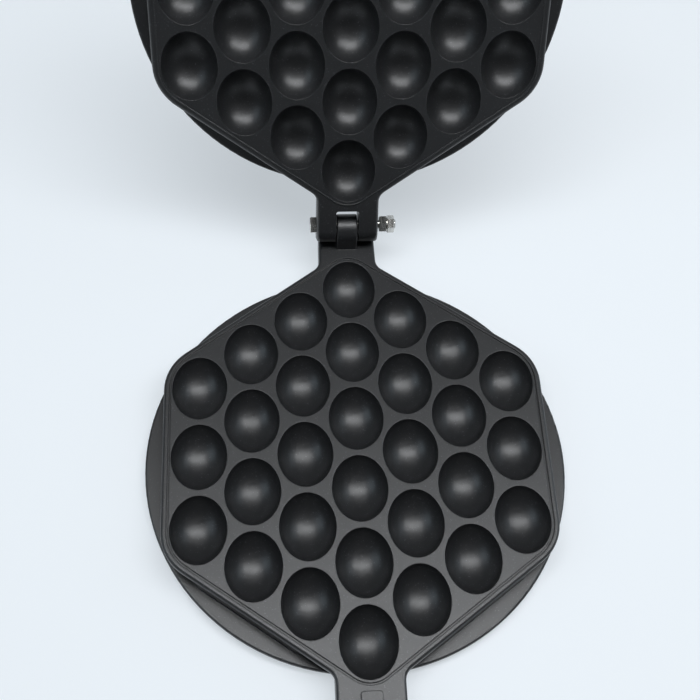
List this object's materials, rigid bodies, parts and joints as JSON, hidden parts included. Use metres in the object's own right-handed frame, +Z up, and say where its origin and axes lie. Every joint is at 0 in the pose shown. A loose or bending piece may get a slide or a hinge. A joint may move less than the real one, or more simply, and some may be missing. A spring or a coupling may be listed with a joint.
{
  "type": "egg waffle pan",
  "caption": "Hinged two-sided stovetop pan for egg waffles: two round-flanged castings with a hexagon of egg-shaped cells, a bolted hinge, two grips and a wire latch.",
  "frame": {"origin": "centre of the lower half's round foot, on the plane it stands on", "axes": "+Y towards the hinge, -Y towards the lower grip, +Z up, X along the hinge axis; modelled open, the upper half leaning back on its heel stop"},
  "size_m": [0.2108, 0.632, 0.3949],
  "materials": {
    "coated_casting": "dark grey non-stick coating on cast aluminium",
    "grip": "black moulded phenolic",
    "ferrule": "stainless steel",
    "hardware": "bright zinc-plated steel",
    "wire": "stainless spring wire"
  },
  "bodies": {
    "base": {"lower_pan": "coated_casting", "lower_ferrule": "ferrule", "lower_grip": "grip", "lower_tie_washer": "hardware", "lower_spring_washer": "hardware", "lower_tie_screw": "hardware"},
    "lid": {"upper_pan": "coated_casting", "hinge_bolt": "hardware", "hinge_nut_inner": "hardware", "hinge_nut_outer": "hardware", "upper_ferrule": "ferrule", "upper_grip": "grip", "upper_tie_washer": "hardware", "upper_spring_washer": "hardware", "upper_tie_screw": "hardware"},
    "bail": {"latch_bail": "wire"}
  },
  "joints": [
    {"name": "lid_hinge", "type": "hinge", "parent": "base", "child": "lid", "pos_m": [0, 0.12775, 0.0284], "axis": [1, 0, 0], "range_deg": [0, 120]},
    {"name": "bail_hinge", "type": "hinge", "parent": "lid", "child": "bail", "pos_m": [0, 0.33192, 0.38424], "axis": [1, 0, 0], "range_deg": [0, 240]}
  ]
}
